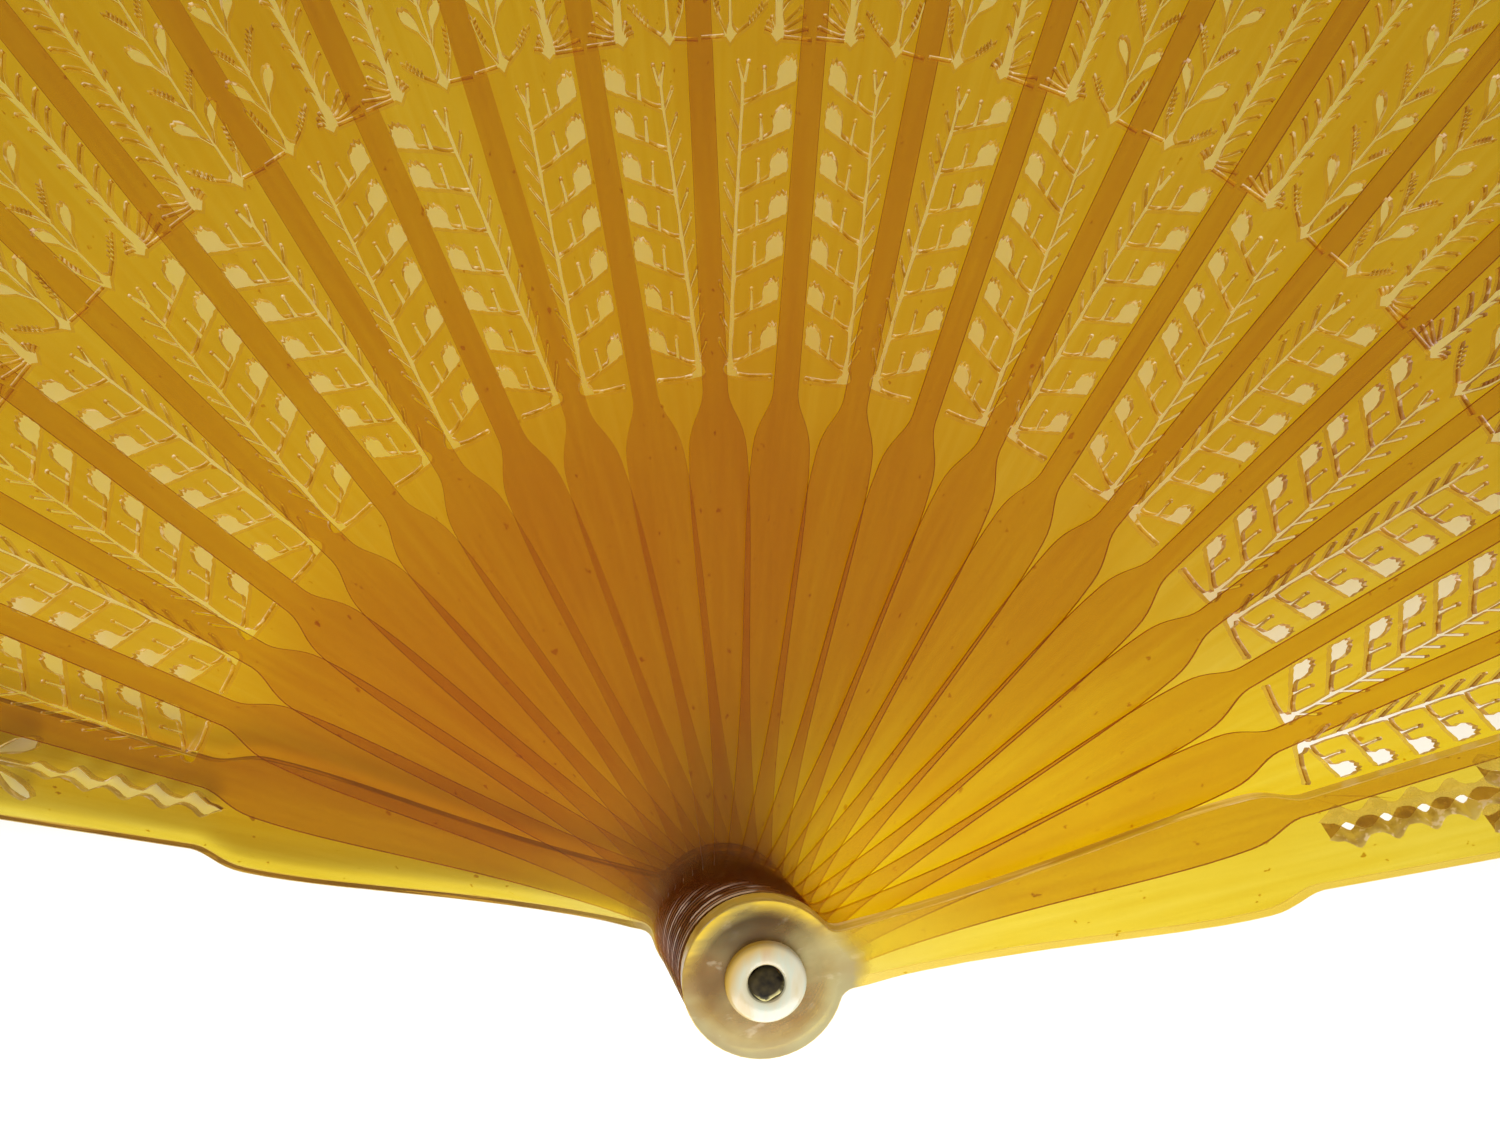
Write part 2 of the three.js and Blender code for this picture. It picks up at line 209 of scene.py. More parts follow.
# %% Node helpers
class Finish:
    def __init__(self, name):
        self.material, self.output, self.node, self.link = new_material(name)
        place = self.node("TexCoord")
        self.random = self.node("ObjectInfo").outputs["Random"]
        shift = self.node("VectorMath", operation="SCALE")
        shift.inputs[0].default_value = (0.37, 0.71, 0.13)
        self.link(self.random, shift.inputs["Scale"])
        moved = self.node("VectorMath", operation="ADD")
        self.link(place.outputs["Object"], moved.inputs[0])
        self.link(shift.outputs[0], moved.inputs[1])
        self.place, self.moved = place.outputs["Object"], moved.outputs[0]

    def put(self, value, socket):
        """Writes a constant or links a socket."""
        if isinstance(value, (int, float, tuple)):
            socket.default_value = value
        else:
            self.link(value, socket)

    def noise(self, scale, stretch=(1, 1, 1), detail=3.0):
        mapping = self.node("Mapping")
        mapping.inputs["Scale"].default_value = stretch
        self.link(self.moved, mapping.inputs["Vector"])
        made = self.node("TexNoise", Scale=scale, Detail=detail)
        self.link(mapping.outputs[0], made.inputs["Vector"])
        return made.outputs["Fac"]

    def span(self, value, from_low, from_high, low, high):
        made = self.node("MapRange")
        ends = {"From Min": from_low, "From Max": from_high, "To Min": low, "To Max": high}
        for socket, number in ends.items():
            made.inputs[socket].default_value = number
        self.link(value, made.inputs["Value"])
        return made.outputs["Result"]

    def math(self, operation, first, second):
        made = self.node("Math", operation=operation)
        self.put(first, made.inputs[0])
        self.put(second, made.inputs[1])
        return made.outputs[0]

    def radius(self):
        """Distance from the rivet in the piece's own plane."""
        flat = self.node("VectorMath", operation="MULTIPLY")
        flat.inputs[1].default_value = (1, 1, 0)
        self.link(self.place, flat.inputs[0])
        length = self.node("VectorMath", operation="LENGTH")
        self.link(flat.outputs[0], length.inputs[0])
        return length.outputs["Value"]

    def colour(self, share, first, second):
        made = self.node("Mix", data_type="RGBA")
        self.put(share, made.inputs[0])
        for value, socket in ((first, made.inputs[6]), (second, made.inputs[7])):
            self.put((*value, 1) if isinstance(value, tuple) else value, socket)
        return made.outputs[2]

    def shader(self, kind, colour, **values):
        made = self.node(kind, **values)
        self.put((*colour, 1) if isinstance(colour, tuple) else colour, made.inputs[0])
        return made.outputs[0]

    def blend(self, share, first, second):
        made = self.node("MixShader")
        self.put(share, made.inputs[0])
        self.link(first, made.inputs[1])
        self.link(second, made.inputs[2])
        return made.outputs[0]

    def polish(self, under, strength, edge, roughness):
        """A thin gloss on the outside faces, faint from in front and stronger at a slant."""
        facing = self.node("LayerWeight")
        slant = self.math("MULTIPLY", self.math("POWER", facing.outputs["Facing"], 5.0), edge)
        outside = self.math("SUBTRACT", 1.0, self.node("NewGeometry").outputs["Backfacing"])
        share = self.math("MULTIPLY", self.math("ADD", slant, strength), outside)
        return self.blend(share, under, self.shader("BsdfGlossy", (1.0, 1.0, 1.0), Roughness=roughness))

    def done(self, surface):
        self.link(surface, self.output.inputs["Surface"])
        return self.material


print("noise, span, math, colour, shader, blend and polish are ready")

# %% [markdown]
# Horn in thin sheet is almost clear: what the eye sees is the light that came through, tinted a little more by each
# sheet. A Transparent shader does that exactly, with no refraction to blur the sawn edges. Light on its way down goes
# through at a slant and is scattered, so it loses more colour than the straight view does. The Light Path node
# deepens the tint for shadow rays. Long streaks, soft clouds and a few dark flecks vary the tint. The necks are made
# clearer, which is painted light: it lifts the shade that the pile of heads casts on them.
#
# A small share of a milky body gives the light that horn scatters. There is more of it in the worn, thick heads round
# the rivet, where nothing shines through and horn looks taupe. On the front head that milk thins towards the side
# away from the lamp, which paints shade there, and pale spots on the head are painted glints. The rim on that side is
# painted golden: a painted glow for the light that gets in there.

# %% Horn
LIGHT_DEPTH = 1.35
NECK_LIGHT_LIFT, NECK_ZONE = 0.6, (0.010, 0.022)
HEAD_ZONE, RIM_ZONE, EDGE_ZONE = (0.0078, 0.0096), (0.0054, 0.0067), (0.0052, 0.0066)
# Colours of the painted golden rim glow and of the painted glints on the head.
PAINTED_GOLDEN_GLOW, PAINTED_GLINT_SPOT = (0.82, 0.56, 0.05), (0.9, 0.76, 0.5)


def scaled(colour, shares):
    return tuple(c * share for c, share in zip(colour, shares))


def horn_material(name, tint, milk, milk_colour, cloud, neck_milk, head_milk, head_colour, painted_rim_strength):
    """milk is the share that scatters, cloud the swing of the tint, painted_rim_strength the painted golden rim glow.
    """
    f = Finish(name)
    across = f.node("SeparateXYZ")
    f.link(f.place, across.inputs[0])
    x, radius = across.outputs[0], f.radius()

    streaks = f.span(f.noise(1300.0, (1, 0.035, 1)), 0.3, 0.7, -0.18, 0.18)
    clouds = f.span(f.noise(75.0, (1, 0.45, 1), 4.0), 0.3, 0.7, -cloud, cloud)
    flecks = f.span(f.noise(1150.0, (1, 0.6, 1), 2.0), 0.735, 0.78, 0.0, 3.0)
    each = f.span(f.random, 0.0, 1.0, 0.88, 1.12)
    depth = f.math("ADD", f.math("ADD", streaks, clouds), f.math("ADD", flecks, each))
    # Clearer necks: painted light that lifts the shade of the pile of heads on them.
    depth = f.math("MULTIPLY", depth, f.span(radius, *NECK_ZONE, NECK_LIGHT_LIFT, 1.0))
    slanted = f.span(f.node("LightPath").outputs["Is Shadow Ray"], 0.0, 1.0, 1.0, LIGHT_DEPTH)
    deepen = f.node("Gamma", Color=(*tint, 1))
    f.link(f.math("MULTIPLY", depth, slanted), deepen.inputs["Gamma"])

    patches = f.noise(300.0, (1, 0.5, 1), 5.0)
    ragged = f.math("ADD", radius, f.span(patches, 0.35, 0.65, -0.001, 0.001))
    head = f.span(ragged, *HEAD_ZONE, 1.0, 0.0)
    # A painted golden glow on the rim at the -x side of the head, where light gets in.
    painted_rim_glow = f.math("MULTIPLY", f.span(radius, *RIM_ZONE, 0.0, painted_rim_strength), f.span(x, -0.0045, -0.001, 1.0, 0.0))
    painted_rim_glow = f.math("MULTIPLY", painted_rim_glow, f.span(f.noise(900.0, (1, 0.3, 1), 3.0), 0.35, 0.6, 0.45, 1.0))
    edge_milk = f.math(
        "MULTIPLY", f.span(radius, *EDGE_ZONE, 0.0, 0.7 * painted_rim_strength), f.span(x, -0.002, 0.002, 0.0, 1.0)
    )
    mottle = f.span(f.noise(190.0, (1, 0.7, 1), 3.0), 0.42, 0.6, 0.0, 1.0)
    taupe = f.colour(mottle, head_colour, scaled(head_colour, (0.72, 0.52, 0.42)))
    # Pale spots on the head: painted glints.
    taupe = f.colour(f.span(f.noise(520.0, (1.6, 0.8, 1), 4.0), 0.6, 0.68, 0.0, 0.55), taupe, PAINTED_GLINT_SPOT)
    taupe = f.colour(edge_milk, taupe, scaled(head_colour, (0.6, 0.6, 0.6)))
    body = f.colour(painted_rim_glow, f.colour(head, milk_colour, taupe), PAINTED_GOLDEN_GLOW)

    # The head's milk thins towards -x, the side away from the lamp, so that side looks darker: painted shade. The
    # painted rim glow is added to it below.
    head_haze_with_painted_light = f.math("MULTIPLY", f.span(patches, 0.35, 0.65, head_milk * 0.6, head_milk * 1.4),
                  f.span(x, -0.0056, -0.0016, 0.12, 1.0))
    head_haze_with_painted_light = f.math("ADD", f.math("ADD", head_haze_with_painted_light, edge_milk), f.math("MULTIPLY", painted_rim_glow, 0.7))
    neck = f.math("MULTIPLY", f.span(radius, 0.009, 0.022, neck_milk, 0.0), f.math("SUBTRACT", 1.0, head))
    haze = f.span(f.noise(260.0, (1, 0.6, 1), 4.0), 0.3, 0.7, milk * 0.5, milk * 1.5)
    haze = f.math("ADD", f.math("ADD", haze, neck), f.math("MULTIPLY", head, head_haze_with_painted_light))
    sheet = f.blend(haze, f.shader("BsdfTransparent", deepen.outputs[0]), f.shader("BsdfDiffuse", body))
    return f.done(f.polish(sheet, 0.014, 0.35, 0.24))


STICK_TINT, GUARD_TINT = (0.918, 0.812, 0.2), (0.862, 0.76, 0.2)
stick_horn = horn_material(
    "stick_horn", STICK_TINT, milk=0.03, milk_colour=(0.5, 0.22, 0.02), cloud=0.16, neck_milk=0.0,
    head_milk=0.04, head_colour=(0.45, 0.24, 0.06), painted_rim_strength=0.0,
)
guard_horn = horn_material(
    "guard_horn", GUARD_TINT, milk=0.04, milk_colour=(0.64, 0.46, 0.05), cloud=0.14, neck_milk=0.22,
    head_milk=0.38, head_colour=(0.54, 0.46, 0.21), painted_rim_strength=1.0,
)
for kind, tint in (("stick", STICK_TINT), ("guard", GUARD_TINT)):
    print("a", kind, "passes", [round(c * c, 2) for c in tint])

# %% [markdown]
# A saw leaves horn matt, so the walls of every cut scatter light instead of passing it. Their colours are painted
# light and shade. Over other sticks the walls are painted a glowing amber, for the light that falls through them. At
# the right end of the fan, where the white table lies beneath, they are painted plum-brown for shade. The guards'
# outer edges were scraped smooth along their length, and their rounded corners are painted golden, a painted glow.
# The pale chips on every wall and edge are painted glints. Seen through the clear horn from inside, the same walls
# are fainter, so each material has one share for each side.

# %% Sawn walls
def wall_material(name, dark, amber, glint_colour, grain, stretch, seen, through):
    """seen and through are the shares that scatter for a look from outside and from inside the horn."""
    f = Finish(name)
    mottle = f.span(f.noise(grain, (1, stretch, 1), 4.0), 0.4, 0.6, 0.0, 1.0)
    painted_glints = f.span(f.noise(grain * 2.3, (1, stretch, 1), 2.0), 0.56, 0.66, 0.0, 1.0)
    # Painted light and shade: the dark and amber tones, with pale chips that are painted glints.
    colour = f.colour(painted_glints, f.colour(mottle, dark, amber), glint_colour)
    scatter = f.blend(0.4, f.shader("BsdfDiffuse", colour), f.shader("BsdfTranslucent", colour))
    share = f.span(f.node("NewGeometry").outputs["Backfacing"], 0.0, 1.0, seen, through)
    wall = f.blend(share, f.shader("BsdfTransparent", (0.9, 0.75, 0.4)), scatter)
    return f.done(f.polish(wall, 0.05, 0.5, 0.3))


PINK_GLINT, CREAM_GLINT = (0.85, 0.66, 0.58), (1.0, 0.88, 0.6)
walls = {
    name: wall_material(name, *finish) for name, finish in {
        "plum_wall_painted_shade": ((0.34, 0.12, 0.05), (0.58, 0.3, 0.08), PINK_GLINT, 700.0, 0.5, 0.7, 0.25),
        "gold_wall_painted_glow": ((0.5, 0.24, 0.015), (0.78, 0.52, 0.07), CREAM_GLINT, 700.0, 0.5, 0.6, 0.12),
        "guard_wall": ((0.42, 0.25, 0.035), (0.68, 0.5, 0.11), (0.8, 0.62, 0.42), 620.0, 0.7, 0.9, 0.4),
        "rear_edge": ((0.15, 0.04, 0.004), (0.28, 0.11, 0.01), (0.6, 0.35, 0.12), 420.0, 0.07, 0.9, 0.92),
        "front_edge": ((0.45, 0.33, 0.07), (0.7, 0.58, 0.18), CREAM_GLINT, 420.0, 0.07, 0.5, 0.1),
        # Rounded guard corners: a painted golden glow.
        "guard_rim_painted_glow": ((0.75, 0.5, 0.05), (0.9, 0.7, 0.14), CREAM_GLINT, 500.0, 0.2, 0.6, 0.4),
    }.items()
}
print("wall materials:", *walls)

# %% [markdown]
# The edges of the inner sticks are dark amber lines. Round the rivet they pile up into a barrel of rings: each head
# is darkened by handling to its own degree, and the joint below it is black. The corner above it carries painted
# highlights in places, on some heads right across. The height in the stick's own frame says where on the wall a point
# lies. Just outside the barrel, where many edges cross under the clear horn, each is fainter.

# %% Stick edges
BARREL_R, CROSSING_ZONE = (0.0071, 0.0074), (0.012, 0.026)
JOINT_H, CORNER_H = (0.00003, 0.0001), (0.0004, 0.0005)
BLACK_JOINT, PAINTED_HIGHLIGHT = (0.03, 0.008, 0.004), (0.95, 0.82, 0.72)


def edge_material():
    f = Finish("stick_edge")
    parts = f.node("SeparateXYZ")
    f.link(f.place, parts.inputs[0])
    y, height = parts.outputs[1], parts.outputs[2]
    head = f.math("MULTIPLY", f.span(f.radius(), *BARREL_R, 1.0, 0.0), f.span(y, 0.003, 0.0055, 1.0, 0.0))

    own = f.math("FRACT", f.math("MULTIPLY", f.random, 7.31), 0.0)
    barrel = f.colour(own, (0.13, 0.045, 0.012), (0.44, 0.22, 0.08))
    # Painted highlights on the upper corner of each head's edge, and right across on a few heads chosen at random.
    highlight_across = f.span(f.math("FRACT", f.math("MULTIPLY", f.random, 13.7), 0.0), 0.66, 0.7, 0.0, 1.0)
    highlight_place = f.math("MAXIMUM", f.span(height, *CORNER_H, 0.0, 0.6), highlight_across)
    painted_highlight = f.math("MULTIPLY", highlight_place, f.span(f.noise(170.0), 0.47, 0.52, 0.0, 1.0))
    barrel = f.colour(painted_highlight, barrel, PAINTED_HIGHLIGHT)
    barrel = f.colour(f.span(height, *JOINT_H, 1.0, 0.0), barrel, BLACK_JOINT)

    mottle = f.span(f.noise(500.0, (1, 0.5, 1), 3.0), 0.4, 0.6, 0.0, 1.0)
    colour = f.colour(head, f.colour(mottle, (0.2, 0.05, 0.006), (0.4, 0.13, 0.012)), barrel)
    scatter = f.blend(0.4, f.shader("BsdfDiffuse", colour), f.shader("BsdfTranslucent", colour))
    solid = f.math("ADD", f.span(head, 0.0, 1.0, 0.1, 0.9), f.span(f.radius(), *NECK_ZONE, 0.0, 0.4))
    clear = f.colour(f.span(f.radius(), *CROSSING_ZONE, 0.0, 1.0), (0.86, 0.66, 0.24), (0.65, 0.32, 0.06))
    wall = f.blend(solid, f.shader("BsdfTransparent", clear), scatter)
    return f.done(f.polish(wall, 0.02, 0.2, 0.35))


stick_edge = edge_material()
print("edge material:", stick_edge.name)

# %% [markdown]
# The outline of a stick starts at the round head, narrows to a neck, swells into the gorge, steps in at an ogee
# shoulder and then widens steadily as the blade, whose long edges run parallel to its share of the circle. The tip is
# a low arch. Both edges are the same curve, so one half is drawn and mirrored.

# %% Outline of a stick
HEAD_R, NECK_W, NECK_FILLET = 7.0, 5.2, 1.5
GORGE_W, GORGE_R, SHOULDER_R = 10.8, 45.0, 50.2
OVERLAP_W, TIP_R, ARCH_H = 2.36, 152.0, 9.0
HOLE_R = 1.42


def lerp(a, b, t):
    return a + (b - a) * t


def half_width(r):
    """Half the blade's width: its share of the spread fan and half of the strip its neighbour covers."""
    return r * math.tan(math.radians(STICK_ANGLE / 2)) + OVERLAP_W / 2


def bezier(p0, p1, p2, p3, steps):
    points = []
    for i in range(steps + 1):
        t = i / steps
        a, b, c, d = (1 - t) ** 3, 3 * t * (1 - t) ** 2, 3 * t * t * (1 - t), t ** 3
        points.append(tuple(a * p0[n] + b * p1[n] + c * p2[n] + d * p3[n] for n in (0, 1)))
    return points


def arc(centre, radius, start, end, steps):
    return [
        (centre[0] + radius * math.cos(math.radians(lerp(start, end, i / steps))),
         centre[1] + radius * math.sin(math.radians(lerp(start, end, i / steps))))
        for i in range(steps + 1)
    ]


def stick_outline():
    neck, gorge, shoulder = NECK_W / 2, GORGE_W / 2, half_width(SHOULDER_R)
    neck_r = HEAD_R + NECK_FILLET
    swell, ogee = GORGE_R - neck_r, SHOULDER_R - GORGE_R
    arch_r = TIP_R - ARCH_H
    arch = half_width(arch_r)
    leave = math.degrees(math.asin((NECK_W / 2 + NECK_FILLET) / (HEAD_R + NECK_FILLET)))
    corner_y = (HEAD_R + NECK_FILLET) * math.cos(math.radians(leave))
    fillet = arc((neck + NECK_FILLET, corner_y), NECK_FILLET, 270 - leave, 180, 4)
    neck_start, widest = (neck, corner_y), (gorge, GORGE_R)
    right = fillet
    right += bezier(neck_start, (neck, lerp(neck_r, GORGE_R, 0.42)), (gorge, GORGE_R - swell / 4), widest, 14)[1:]
    right += bezier(
        widest, (gorge, GORGE_R + ogee / 2), (shoulder, SHOULDER_R - ogee / 3), (shoulder, SHOULDER_R), 8
    )[1:]
    right += [(half_width(r), r) for r in (70, 95, 120)]
    right += bezier(
        (arch, arch_r), (arch, lerp(arch_r, TIP_R, 0.6)), (arch / 3, lerp(arch_r, TIP_R, 0.9)), (0, TIP_R), 10
    )
    left = [(-x, y) for x, y in reversed(right[:-1])]
    head = arc((0, 0), HEAD_R, 90 + leave, 450 - leave, 44)[1:-1]
    return right + left + head


print("outline points:", len(stick_outline()))

# %% [markdown]
# The first tier carries one frond to a stick. The sawyer drilled a root, then followed one line up the stem, out
# along each branch, round its leaf, back past a short twig, and so on to the top, and came down the other side
# barb by barb. The same walk gives one closed outline here. A seeded random number moves each point a little,
# because no two sticks were sawn quite alike, and every second stick has the frond the other way round.

# %% First tier: the frond
FROND_R, FROND_FIRST, FROND_PITCH, FROND_BRANCHES = 51.7, 1.0, 3.75, 7
FROND_H, FROND_BARBS = 27.4, 11
LEAF = [(0.5, 0.36), (1.1, 0.7), (1.62, 1.02), (2.2, 1.3), (2.6, 1.44), (3.0, 1.72), (3.36, 1.86), (3.7, 2.1),
        (3.98, 2.16), (4.1, 2.55), (4.06, 3.1), (4.14, 3.62), (4.02, 4.0), (4.04, 4.34), (3.84, 4.18), (3.66, 4.5),
        (3.5, 4.16), (3.26, 4.28), (3.06, 3.96), (2.8, 3.76), (2.64, 3.3), (2.56, 2.8), (2.62, 2.35), (2.54, 2.0),
        (2.34, 1.78), (2.1, 1.66)]
LEAF_REACH = max(u for u, v in LEAF)
TWIG = [(1.76, 1.44), (1.7, 2.2), (1.66, 2.95), (1.72, 3.12), (1.72, 3.28), (1.6, 3.38), (1.46, 3.34), (1.4, 3.2),
        (1.44, 3.05), (1.5, 2.9), (1.5, 2.2), (1.48, 1.3), (0.9, 0.84), (0.4, 0.6)]


def stem_line(r, foot_r, height, places):
    return half_width(r) * lerp(places[0], places[1], (r - foot_r) / height)


def frond(rng):
    def shake(size=0.05):
        return rng.uniform(-size, size)

    def middle(r):
        return stem_line(r, FROND_R, FROND_H, (-0.43, -0.17))

    def half(r):
        return lerp(0.22, 0.12, (r - FROND_R) / FROND_H)

    foot = middle(FROND_R)
    slit_end = 0.36 * half_width(FROND_R) + shake(0.2)
    points = arc((foot, FROND_R + 0.62), 0.62, 185, 262, 4)
    points += [(lerp(foot, slit_end, 0.5), FROND_R - 0.12), (slit_end - 0.2, FROND_R - 0.1)]
    points += arc((slit_end, FROND_R + 0.02), 0.2, 230, 490, 6)
    points += [(lerp(foot, slit_end, 0.45), FROND_R + 0.14)]
    points += [(foot + 0.62, FROND_R + 0.3), (foot + 0.56, FROND_R + 0.7)]
    for i in range(FROND_BRANCHES):
        r = FROND_R + FROND_FIRST + i * FROND_PITCH + shake(0.15)
        x = middle(r) + half(r)
        reach = (half_width(r + 3) - 2.45 - x) / LEAF_REACH * (1 + shake(0.04))
        rise = lerp(0.88, 1.0, i / (FROND_BRANCHES - 1)) * (1 + shake(0.05))
        points.append((x, r))
        points += [(x + u * reach + shake(0.03), r + v * rise + shake(0.03)) for u, v in LEAF + TWIG]
        points.append((middle(r + 0.5) + half(r + 0.5), r + 0.5))
        points.append((middle(r + 2.0) + 0.4 * half(r) + shake(0.04), r + 2.0))
    top = FROND_R + FROND_H
    x = middle(top - 1.6)
    points += [(x + 0.22, top - 1.8), (x + 0.5 + shake(), top - 0.2)]
    points += arc((x + 0.42, top), 0.17, -30, 200, 4)
    points += [(x + 0.02, top - 1.2), (x - 0.42 + shake(), top - 0.1)]
    points += arc((x - 0.52, top), 0.15, 20, 250, 4)
    points += [(x - 0.22, top - 1.8)]
    for i in reversed(range(FROND_BARBS)):
        r = FROND_R + 1.5 + i * (FROND_H - 5.6) / (FROND_BARBS - 1) + shake(0.2)
        long = 1.0 + shake(0.14)
        start = middle(r + 0.36) - half(r + 0.36)
        points.append((start, r + 0.36))
        tip = (start - 0.86 * long, r + 2.0 * long)
        points.append((tip[0] + 0.12, tip[1] - 0.14))
        points += arc(tip, 0.11, 20, 220, 3)
        points.append((tip[0] - 0.05, tip[1] - 0.3))
        points.append((middle(r) - half(r), r))
    points.append((foot - 0.5, FROND_R + 1.1))
    return points


print("frond points:", len(frond(random.Random(1))))

# %% [markdown]
# The second tier has two sprigs side by side: a leafy one with pairs of leaves and toothed arms on a thin stem, and
# a feathery one with long barbs to the blade's edge. They are walked the same way. A small helper draws a twig from
# its two feet on the stem, so that each kind of twig is only a list of points beside its middle line.

# %% Second tier: twigs
def along(start, angle, length, profile, bend=0.0):
    """Points beside a line that leaves start at an angle and turns by bend on its way.

    Each point of the profile is a share of the length and an offset to the line's left."""
    points = []
    for u, w in profile:
        way, side = math.radians(angle + bend * u / 2), math.radians(angle + bend * u)
        points.append((start[0] + u * length * math.cos(way) - w * math.sin(side),
                       start[1] + u * length * math.sin(way) + w * math.cos(side)))
    return points


LEAFLET = [(0, -0.1), (0.33, -0.11), (0.48, -0.34), (0.66, -0.55), (0.82, -0.52), (0.9, -0.32), (0.95, -0.36),
           (1.0, -0.05), (0.94, 0.1), (0.95, 0.3), (0.84, 0.46), (0.66, 0.46), (0.5, 0.3), (0.35, 0.11), (0.04, 0.12)]
BARB = [(0, -0.11), (0.5, -0.14), (0.88, -0.1), (0.96, -0.15), (1.04, 0), (0.97, 0.15), (0.88, 0.1), (0.5, 0.09),
        (0.14, 0.11)]


def comb(toothed):
    """A toothed arm: the teeth are on its left side for 1 and on its right side for -1."""
    teeth = [(0.1, 0.11)]
    for i in range(5):
        u = 0.42 + 0.11 * i
        teeth += [(u, 0.1), (u + 0.07, 0.44), (u + 0.1, 0.42), (u + 0.045, 0.1)]
    plain = [(0.08, 0.12), (0.5, 0.1), (0.93, 0.07)]
    right, left = (plain, teeth) if toothed > 0 else (teeth, plain)
    return [(0, -0.11)] + [(u, -w) for u, w in right] + [(1.0, -0.1), (1.05, 0), (1.0, 0.1)] + left[::-1]


print("points of a leaflet, a barb and an arm:", len(LEAFLET), len(BARB), len(comb(1)))

# %% [markdown]
# Up the leafy sprig, pairs of leaflets and pairs of toothed arms take turns, and two more arms spread at its foot.
# The twigs are drawn first, from the foot up. Then the line goes up the right side of the stem, turns at the top and
# comes down the left side.

# %% Second tier: leafy sprig
SPRIG_R, SPRIG_H, SPRIG_NODES = 81.2, 33.0, 7


def leafy_sprig(rng):
    def shake(size=0.05):
        return rng.uniform(-size, size)

    def middle(r):
        return -0.38 * half_width(r)

    x, y = middle(SPRIG_R), SPRIG_R + 0.1
    reach = half_width(SPRIG_R) - 1.3
    right = along((x + 0.42, y + 0.12), 32, 3.7 + shake(0.3), comb(1), 26)
    left = along((x - 0.4, y + 0.3), 124, 4.4 + shake(0.3), comb(-1), -30)
    points = [(x - 0.5, y + 0.02), (-reach, y - 0.2), (-reach, y - 0.4), (x - 0.38, y - 0.2), (x, y - 0.75 + shake()),
              (x + 0.4, y - 0.1)] + right + [(x + 0.3, y + 0.75), (x + 0.14, y + 1.1)]
    top = SPRIG_R + SPRIG_H
    nodes = []
    for i in range(SPRIG_NODES):
        r = y + 3.6 + 3.6 * i + shake(0.2)
        twigs = []
        for hand in (1, -1):
            lean = 90 - hand * ((27 if i % 2 else 22) + shake(4))
            if i % 2:
                twig = comb(hand)
                long = 3.5 + shake(0.4)
            else:
                twig = LEAFLET
                long = 4.1 + shake(0.3)
            twigs.append(along((middle(r) + hand * 0.15, r), lean, long, twig, -hand * (8 + shake(6))))
        nodes.append((r, twigs))
    for r, twigs in nodes:
        points += [(middle(r - 0.3) + 0.11, r - 0.3)] + twigs[0]
    points += [(middle(top - 1) + 0.1, top - 1), (middle(top), top), (middle(top - 1) - 0.1, top - 1)]
    for r, twigs in reversed(nodes):
        points += twigs[1] + [(middle(r - 0.3) - 0.11, r - 0.3)]
    return points + [(x - 0.14, y + 1.1), (x - 0.28, y + 0.8)] + left


print("leafy sprig points:", len(leafy_sprig(random.Random(1))))

# %% [markdown]
# The feathery sprig has long barbs on the side of the blade's edge, which bend outwards as they go, and short ones on
# the side of its neighbour. Three more fan out at each side of its foot.

# %% Second tier: feathery sprig
SPRIG_BARBS = 14


def feathery_sprig(rng):
    def shake(size=0.05):
        return rng.uniform(-size, size)

    def middle(r):
        return half_width(r) * lerp(0.3, 0.38, (r - SPRIG_R) / SPRIG_H)

    def half(r):
        return lerp(0.26, 0.13, (r - SPRIG_R) / SPRIG_H)

    x, y = middle(SPRIG_R), SPRIG_R + 0.2
    reach = half_width(SPRIG_R) - 1.3
    points = [(x - 0.62, y + 0.1), (x - 0.1, y - 0.55), (x + 0.3, y - 0.2), (reach, y - 0.35), (reach, y - 0.12),
              (x + 0.5, y + 0.02)]
    for i, angle in enumerate((12, 30, 46)):
        points += along((x + 0.58 - 0.08 * i, y + 0.2 + 0.36 * i), angle + shake(3), 2.3 + shake(0.3), BARB)
    pitch = (SPRIG_H - 6.0) / SPRIG_BARBS
    for i in range(SPRIG_BARBS):
        r = y + 2.2 + i * pitch + shake(0.15)
        points += along((middle(r) + half(r), r), 72 + shake(4), 2.4 + 0.04 * i + shake(0.3), BARB, -42)
    top = SPRIG_R + SPRIG_H
    points += [(middle(top) + 0.4, top - 0.3), (middle(top) + 0.12, top - 0.9), (middle(top) - 0.1, top),
               (middle(top) - 0.2, top - 1.2)]
    for i in reversed(range(SPRIG_BARBS)):
        r = y + 3.3 + i * pitch + shake(0.15)
        points += along((middle(r) - half(r), r), 112 + shake(5), 0.95 + shake(0.2), BARB, 26)
    for i, angle in enumerate((112, 134, 156)):
        points += along((x - 0.32 - 0.1 * i, y + 0.95 - 0.28 * i), angle + shake(4), 0.7 + shake(0.1), BARB)
    return points


print("feathery sprig points:", len(feathery_sprig(random.Random(1))))

# %% [markdown]
# Near the tip each stick has one slit, and the ribbon is threaded up through it. The slit could be cut with a Boolean
# modifier. One more closed line is simpler, because the filling that leaves out the plants leaves it out as well.

# %% Ribbon slit
RIBBON_R, RIBBON_W, SLIT_W, SLIT_L = 127.0, 6.0, 1.0, 7.0


def ribbon_slit():
    half, low, high = SLIT_W / 2, RIBBON_R - SLIT_L / 2, RIBBON_R + SLIT_L / 2
    return (
        [(-half, low + half)] + arc((0, low + half), half, 180, 360, 6)
        + arc((0, high - half), half, 0, 180, 6)
    )


print("slit", SLIT_W, "by", SLIT_L, "mm")

# %% [markdown]
# A plant's line must not cross itself, or the sheet round it would fill inside out, and two points in one place leave
# a sliver. So each line is thinned and tested. One that crosses itself is drawn again with other random numbers. They
# come from a seed, so every run gives the same fan.

